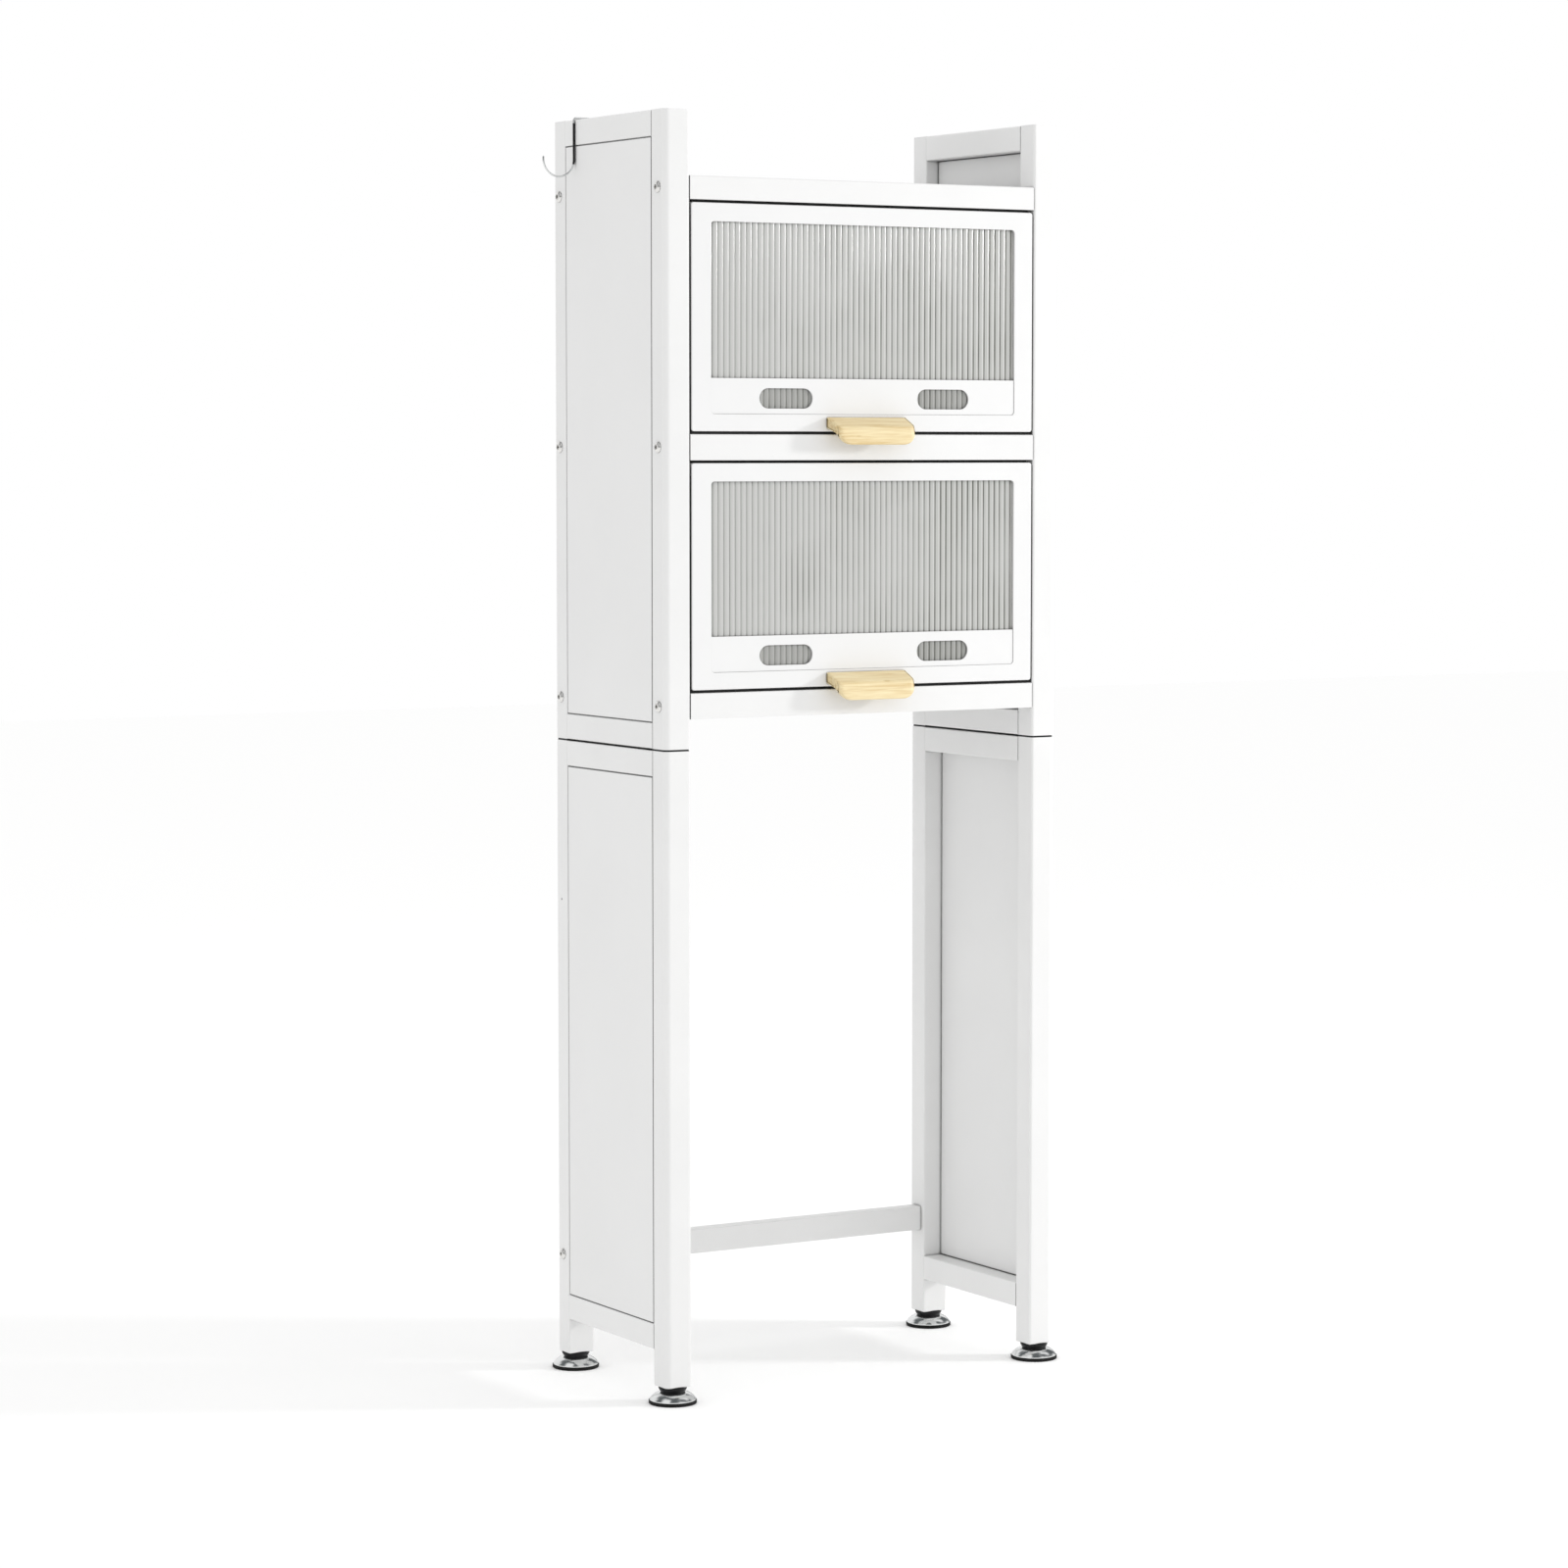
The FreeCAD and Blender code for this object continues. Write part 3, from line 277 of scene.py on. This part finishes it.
def panel_board():
    """White foil on board, flatter than the powder coating."""
    white = (0.775, 0.775, 0.772)
    surface = Surface("panel_board", white, 0.5, Specular_IOR_Level=0.4)
    tinted(surface, white, 0.01, 5)
    # painted shade in the board's grooves, gaps and inner corners
    surface.shade_crevices(0.006, 0.12)
    surface.vary_roughness(surface.noise(70, 3), 0.44, 0.56)
    surface.relief(surface.noise(1400, 2), 0.00004, 0.45)
    return surface.material


def moulded_white():
    """White moulded plastic, the smoothest of the whites."""
    white = (0.782, 0.782, 0.78)
    surface = Surface("moulded_white", white, 0.34, Specular_IOR_Level=0.5)
    tinted(surface, white, 0.008, 14)
    # painted shade in the plastic's gaps, grooves and inner corners
    surface.shade_crevices(0.005, 0.3)
    surface.vary_roughness(surface.noise(120, 2), 0.29, 0.4)
    surface.relief(surface.noise(1600, 1), 0.00003, 0.4)
    return surface.material


def painted_band_shadow(surface):
    """Painted shadow for the strip of each sheet that shows only through the slots of its band.
    """
    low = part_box("lower_door_reeded_sheet")[0].z
    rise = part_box("upper_door_reeded_sheet")[0].z - low
    edge, blur = (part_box("lower_door_band")[1].z - low) / rise, 0.004
    height = surface.stripes("Z", low, rise)
    return surface.ramp(height, (edge - blur, (0.7, 0.7, 0.69)), (edge + blur, (1, 1, 1)))


def reeded_clear():
    """Milky clear plastic with painted streaks: painted shade in each reed's valleys and a
    painted highlight right of its crest.
    """
    low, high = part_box("lower_door_reeded_sheet")
    tint = (0.96, 0.965, 0.925)
    surface = Surface("reeded_clear", tint, 0.14, Transmission_Weight=0.5, IOR=1.49)
    wobble = 0.14
    uneven = surface.noise(1.0, 3, 0, surface.stretched(110, 1, 1.5))
    place = surface.stripes("X", low.x, (high.x - low.x) / REEDS)
    place = surface.sum_of("ADD", place, surface.scaled(uneven, -wobble, wobble))
    # across one reed, from the valley on its left to the valley on its right: painted shade in
    # the valleys, a painted highlight right of the crest
    strong = surface.ramp(
        place, (0.0, (0.3, 0.31, 0.27)), (0.1, (0.4, 0.41, 0.37)), (0.22, (1, 1, 0.97)),
        (0.46, (0.86, 0.87, 0.83)), (0.6, (1, 1, 0.98)), (0.82, (1, 1, 0.97)),
        (0.92, (0.36, 0.37, 0.33)))
    faint = surface.ramp(
        place, (0.0, (0.7, 0.71, 0.67)), (0.1, (0.93, 0.94, 0.91)), (0.4, (1, 1, 0.98)),
        (0.84, (1, 1, 0.98)), (0.95, (0.8, 0.81, 0.77)))
    # the painted streaks are faint in some patches, and more so towards the left
    patches = surface.noise(1.6, 2, 0, surface.stretched(7, 1, 5))
    slant = surface.sum_of("MULTIPLY", surface.along("X"), 2.2)
    share = surface.sum_of("SUBTRACT", surface.scaled(patches, -0.6, 2.0), slant)
    surface.colour(surface.blend(share, strong, faint))
    # painted shadow of the band on the strip of sheet seen through its slots
    surface.multiply(painted_band_shadow(surface))
    # painted shade near the band and frame edges and in the slots
    surface.shade_crevices(0.012, 0.3, 0.8)
    surface.vary_roughness(surface.noise(90, 2), 0.1, 0.2)
    return surface.material


def pale_beech():
    """Pale wood with long fine grain, a few growth bands and small oval knots."""
    surface = Surface("pale_beech", (0.78, 0.66, 0.4), 0.46, Specular_IOR_Level=0.4)
    along = surface.stretched(5, 70, 110)
    growth = surface.noise(2.0, 4, 0.9, along)
    fine = surface.noise(16, 3, 0.2, surface.stretched(2.5, 70, 80))
    broad = surface.ramp(
        growth, (0.3, (0.62, 0.45, 0.2)), (0.46, (0.75, 0.61, 0.35)), (0.54, (0.79, 0.665, 0.4)),
        (0.72, (0.85, 0.75, 0.5)))
    streaks = surface.ramp(fine, (0.36, (0.86, 0.74, 0.48)), (0.6, (0.7, 0.53, 0.27)))
    grain = surface.blend(0.36, broad, streaks)
    knots = surface.nodes.new("ShaderNodeTexVoronoi")
    knots.inputs["Scale"].default_value = 1.0
    knots.inputs["Randomness"].default_value = 0.9
    surface.links.new(surface.stretched(22, 48, 60), knots.inputs["Vector"])
    ring = surface.ramp(
        knots.outputs["Distance"], (0.0, (0.85,) * 3), (0.06, (0.2,) * 3), (0.1, (0.7,) * 3),
        (0.17, (0, 0, 0)))
    surface.colour(surface.blend(ring, grain, (0.6, 0.44, 0.2)))
    # painted shade in the wood's creases and inner corners
    surface.shade_crevices(0.003, 0.45)
    surface.vary_roughness(fine, 0.4, 0.56)
    surface.relief(fine, 0.00012, 0.35)
    return surface.material


def nickel():
    """Nickel plating of bolts, nuts, pins and screws, with painted shade in the sockets."""
    silver = (0.8, 0.79, 0.77)
    surface = Surface("nickel", silver, 0.28, Metallic=1.0)
    tinted(surface, silver, 0.05, 220)
    surface.vary_roughness(surface.noise(400, 3), 0.2, 0.38)
    # painted shade in the sockets and crevices
    surface.shade_crevices(0.002, 0.2)
    surface.relief(surface.noise(1500, 2), 0.00003, 0.3)
    return surface.material


def chrome():
    """Chrome plating of the feet's domes and the hook's wire."""
    silver = (0.74, 0.75, 0.75)
    surface = Surface("chrome_plate", silver, 0.14, Metallic=1.0)
    tinted(surface, silver, 0.03, 60)
    surface.vary_roughness(surface.noise(120, 3), 0.1, 0.22)
    return surface.material


def black_rubber():
    """Matt rubber of the feet's pads and the door stops, and the black of the door seals, strips
    set in the gaps round the doors as painted shade.
    """
    black = (0.008, 0.008, 0.008)
    surface = Surface("black_rubber", black, 0.75, Specular_IOR_Level=0.2)
    tinted(surface, black, 0.25, 90)
    surface.vary_roughness(surface.noise(300, 2), 0.6, 0.8)
    surface.relief(surface.noise(1200, 3), 0.00008, 0.5)
    return surface.material


def black_plastic():
    """Black plastic of the feet's collars, the post joiners and the hook's sleeve."""
    black = (0.007, 0.007, 0.008)
    surface = Surface("black_plastic", black, 0.45, Specular_IOR_Level=0.25)
    tinted(surface, black, 0.2, 70)
    surface.vary_roughness(surface.noise(260, 2), 0.36, 0.5)
    surface.relief(surface.noise(1500, 2), 0.00004, 0.4)
    return surface.material


def finishes():
    """One material for each of the record's slots."""
    return {
        "white_metal": powder_coat(), "white_board": panel_board(),
        "white_plastic": moulded_white(), "reeded_sheet": reeded_clear(),
        "pale_wood": pale_beech(), "nickel_steel": nickel(), "chrome": chrome(),
        "black_rubber": black_rubber(), "black_plastic": black_plastic(),
    }


def dress_nodes(materials):
    """Gives every CAD node the material of its own slot."""
    for entry in frame["record"]["subparts"]:
        node = frame["nodes"][entry["node"]]
        node.data.materials.clear()
        node.data.materials.append(materials[entry["material_slot"]])


# ---- pieces ---------------------------------------------------------------------------------

def piece(name, mesh, slot, body, *nodes):
    """Adds a finished piece that takes the place of CAD nodes and rides on their body."""
    made = add_object(name, mesh)
    mesh.materials.append(MATERIALS[slot])
    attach(made, body)
    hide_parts(*nodes)


def mesh_from(name, bm, smooth_angle=35):
    """A mesh with outward normals that is smooth except over sharp edges."""
    bmesh.ops.recalc_face_normals(bm, faces=bm.faces)
    for edge in bm.edges:
        if len(edge.link_faces) == 2:
            edge.smooth = edge.calc_face_angle(0) < math.radians(smooth_angle)
    for face in bm.faces:
        face.smooth = True
    mesh = bpy.data.meshes.new(name)
    bm.to_mesh(mesh)
    bm.free()
    return mesh


def bridge(bm, first, second):
    """Faces between two closed rings of as many vertices."""
    count = len(first)
    for i in range(count):
        j = (i + 1) % count
        bm.faces.new((first[i], first[j], second[j], second[i]))


def reeded_sheet(level):
    """A clear sheet with half-round reeds down its front face."""
    node = f"{level}_door_reeded_sheet"
    low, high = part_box(node)
    steps, depth, fullness = 12, 1.15 * MM, 0.985
    pitch = (high.x - low.x) / REEDS
    outline = []
    for i in range(REEDS * steps + 1):
        across = (i % steps) / steps * 2 - 1
        rise = math.sqrt(max(0, 1 - fullness * across ** 2))
        outline.append((low.x + pitch * i / steps, low.y + depth * (1 - rise)))
    outline += [(high.x, high.y), (low.x, high.y)]
    bm = bmesh.new()
    rings = [[bm.verts.new((x, y, z)) for x, y in outline] for z in (low.z, high.z)]
    bridge(bm, *rings)
    for ring in rings:
        bm.faces.new(ring)
    piece(f"{level}_reeds", mesh_from(f"{level}_reeds", bm), "reeded_sheet",
          f"{level}_door", node)


def handle_corners(low, high, lift, back):
    """The grip's section: corners as (y, z) and the round on each. The lip is lift shorter, and
    the front is back nearer the door."""
    # (how far out from the door, how far up from the lip's foot), in mm
    door_low, door_high, ridge = (0, 21.6), (0, 36.6), (29, 23)
    lip_front, lip_back, hollow = (34, 0), (26, 0), (22.5, 15)
    rounds = {door_low: 2, door_high: 2.2, ridge: 6, lip_front: 2, lip_back: 2, hollow: 3}
    lip_lean, top_slope, lip_share = 0.217, 13.6 / 29, 0.7
    placed = []
    for (out, up), radius in rounds.items():
        point = Vector((high.y - out * MM, low.z + up * MM))
        if (out, up) in (lip_front, lip_back):
            point += Vector((lip_lean * lift, lift))
        if (out, up) == ridge:
            point += Vector((back, back * top_slope))
        if (out, up) == lip_front:
            point += Vector((back * lip_share, 0))
        placed.append((point, radius * MM))
    return placed


def rounded(corners, steps=6):
    """Points round a polygon whose corners are replaced by arcs of given radii."""
    points = []
    for i, (corner, radius) in enumerate(corners):
        before = (corners[i - 1][0] - corner).normalized()
        after = (corners[(i + 1) % len(corners)][0] - corner).normalized()
        half = before.angle(after) / 2
        middle = corner + (before + after).normalized() * (radius / math.sin(half))
        start = corner + before * (radius / math.tan(half)) - middle
        sweep = math.pi - 2 * half
        if before.cross(after) > 0:
            sweep = -sweep
        for step in range(steps + 1):
            turn = sweep * step / steps
            cos, sin = math.cos(turn), math.sin(turn)
            points.append(middle + Vector((start.x * cos - start.y * sin,
                                           start.x * sin + start.y * cos)))
    return points


def inset(points, distance):
    """A closed outline moved inwards."""
    moved = []
    turn = sum(a.cross(b) for a, b in zip(points, points[1:] + points[:1]))
    side = 1 if turn > 0 else -1
    for i, point in enumerate(points):
        along = (points[(i + 1) % len(points)] - points[i - 1]).normalized()
        moved.append(point + Vector((-along.y, along.x)) * side * distance)
    return moved


def arc_rise(distance, radius):
    """How far an arc of a radius has left its start line at a distance along that line."""
    return radius - math.sqrt(max(0, radius ** 2 - distance ** 2))


def handle_stations(half, ease, corner):
    """Places along the grip as x and inset: close together at its ends, which are eased."""
    end_steps, corner_steps = 4, 12
    stations = []
    for step in range(end_steps + 1):
        angle = math.pi / 2 * step / end_steps
        stations.append((half - ease * (1 - math.sin(angle)), ease * (1 - math.cos(angle))))
    for step in range(1, corner_steps + 1):
        stations.append((half - ease - (corner - ease) * step / corner_steps, 0))
    stations += [(half * share, 0) for share in (0.6, 0.4, 0.2, 0)]
    stations = stations[::-1]
    return [(-x, shrink) for x, shrink in stations[:0:-1]] + stations


def handle(level):
    """A wooden grip with a sloping top and a hanging lip, its edges eased by hand."""
    node = f"{level}_door_handle"
    low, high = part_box(node)
    half = (high.x - low.x) / 2
    ease, corner, plan_corner, plan_share = 1.4 * MM, 21 * MM, 10 * MM, 0.8
    bm = bmesh.new()
    rings = []
    for x, shrink in handle_stations(half, ease, corner):
        lift = arc_rise(max(0, abs(x) - (half - corner)), corner)
        back = plan_share * arc_rise(max(0, abs(x) - (half - plan_corner)), plan_corner)
        outline = inset(rounded(handle_corners(low, high, lift, back)), shrink)
        rings.append([bm.verts.new((x, y, z)) for y, z in outline])
    for first, second in zip(rings, rings[1:]):
        bridge(bm, first, second)
    bm.faces.new(rings[0])
    bm.faces.new(rings[-1])
    piece(f"{level}_grip", mesh_from(f"{level}_grip", bm), "pale_wood", f"{level}_door", node)


def add_bolt(bm, face, y, z, sign, length):
    """A button-head bolt with a hexagon socket, its head against a post's outer face. Lengths
    and radii are in mm."""
    count, socket, sixth = 36, 2.77, math.tau / 6

    def ring(out, radius):
        return [bm.verts.new((face + sign * out * MM,
                              y + radius(i) * MM * math.cos(math.tau * i / count),
                              z + radius(i) * MM * math.sin(math.tau * i / count)))
                for i in range(count)]

    def circle(radius):
        return lambda i: radius

    def hexagon(i):
        turn = (math.tau * i / count) % sixth - sixth / 2
        return socket * math.cos(sixth / 2) / math.cos(turn)

    # how far out and what radius: the shank's chamfered tip, the shank, then the domed head
    profile = [(-length, 2.6), (-length + 0.6, 3.0), (0, 3.0), (0, 6.85), (0.12, 7.15),
               (0.5, 7.25), (1.1, 7.05), (1.8, 6.5), (2.6, 5.5), (3.1, 4.6), (3.4, 3.7),
               (3.5, 3.25)]
    rings = [ring(out, circle(radius)) for out, radius in profile]
    rings += [ring(3.42, hexagon), ring(1.3, hexagon)]
    for first, second in zip(rings, rings[1:]):
        bridge(bm, first, second)
    bm.faces.new(rings[0])
    bm.faces.new(rings[-1])


def bolts(name, node, heights, ends):
    """Bolts through the posts at some heights, which end in the rivet nuts behind them."""
    past_post = 12.3
    bm = bmesh.new()
    for side, sign in SIDES.items():
        low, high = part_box(f"{side}_upper_front_post")
        face = low.x if sign < 0 else high.x
        length = (high.x - low.x) / MM + past_post
        for end in ends:
            low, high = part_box(f"{side}_upper_{end}_post")
            for height in heights:
                add_bolt(bm, face, (low.y + high.y) / 2, height, sign, length)
    piece(name, mesh_from(name, bm, 30), "nickel_steel", "frame", node)


def middle_height(node):
    """The height of a CAD node's middle."""
    low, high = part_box(node)
    return (low.z + high.z) / 2


def tube(bm, path, radius):
    """A round wire along points of one upright plane across the rack, its ends domed."""
    count, dome_angles = 20, [math.radians(degrees) for degrees in (75, 50, 25)]
    tangents = [(b - a).normalized() for a, b in zip(path[:1] + path[:-1], path[1:] + path[-1:])]
    rows = []
    for end, way in ((0, -1), (-1, 1)):
        dome = [(way * radius * math.sin(a) * tangents[end], radius * math.cos(a))
                for a in dome_angles]
        placed = [(path[end] + shift, size, tangents[end]) for shift, size in dome]
        rows.append(placed if end == 0 else placed[::-1])
    body = [(point, radius, tangent) for point, tangent in zip(path, tangents)]
    rings = []
    for point, size, tangent in rows[0] + body + rows[1]:
        sideways = Vector((0, 1, 0))
        across = tangent.cross(sideways)
        rings.append([
            bm.verts.new(point + size * (sideways * math.cos(math.tau * i / count)
                                         + across * math.sin(math.tau * i / count)))
            for i in range(count)])
    for first, second in zip(rings, rings[1:]):
        bridge(bm, first, second)
    bm.faces.new(rings[0])
    bm.faces.new(rings[-1])


def arc_points(centre, radius, start, end, steps):
    """Points of an arc in an upright plane across the rack, from one angle to another."""
    turns = [math.radians(start + (end - start) * step / steps) for step in range(steps + 1)]
    return [centre + Vector((radius * math.cos(a), 0, radius * math.sin(a))) for a in turns]


def side_hook():
    """A thin plated wire in a black sleeve over the rail, bare where it turns up in a J."""
    low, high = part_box("side_hook")
    radius, wire_radius, bowl, corner = 1.5 * MM, 1.3 * MM, 22.5 * MM, 3 * MM
    inner_leg, sleeve_drop, overlap, tip_rise = 18 * MM, 7 * MM, 3 * MM, 2.5 * MM
    rail_gap, sleeve_end, overlap_angle = 0.3 * MM, -14, 4
    y = (low.y + high.y) / 2
    bend = Vector((low.x + radius + bowl, y, low.z + radius + bowl))
    outer, inner, over = bend.x + bowl, high.x - radius, high.z - radius
    rail_top = over - radius - rail_gap
    sleeve_top = over - sleeve_drop
    over_rail = (
        [Vector((inner, y, rail_top - inner_leg))]
        + arc_points(Vector((inner - corner, y, over - corner)), corner, 0, 90, 8)
        + arc_points(Vector((outer + corner, y, over - corner)), corner, 90, 180, 8)
        + [Vector((outer, y, sleeve_top - overlap))]
    )
    covered = (
        [Vector((outer, y, sleeve_top)), Vector((outer, y, bend.z))]
        + arc_points(bend, bowl, 0, sleeve_end, 6)[1:]
    )
    curve = (
        arc_points(bend, bowl, sleeve_end + overlap_angle, -180, 40)
        + [bend + Vector((-bowl, 0, tip_rise))]
    )
    bm = bmesh.new()
    tube(bm, over_rail, wire_radius)
    tube(bm, curve, wire_radius)
    piece("hook_wire", mesh_from("hook_wire", bm, 50), "chrome", "side_hook", "side_hook")
    bm = bmesh.new()
    tube(bm, covered, radius)
    piece("hook_sleeve", mesh_from("hook_sleeve", bm, 50), "black_plastic", "side_hook",
          "side_hook")


MATERIALS = finishes()
add_camera()
add_world()
add_area("key", towards=(1.76, -1.0, 0.45), distance=4.5, size=0.45, power=70)
add_floor()
dress_nodes(MATERIALS)
for level in LEVELS:
    reeded_sheet(level)
    handle(level)
shelf_heights = [middle_height(f"{name}_shelf") for name in ("bottom", "middle", "top")]
bolts("shelf_bolt_set", "frame_bolts", shelf_heights, ("front", "rear"))
bolts("crossbar_bolt_set", "frame_bolts", [middle_height("rear_crossbar")], ("rear",))
side_hook()
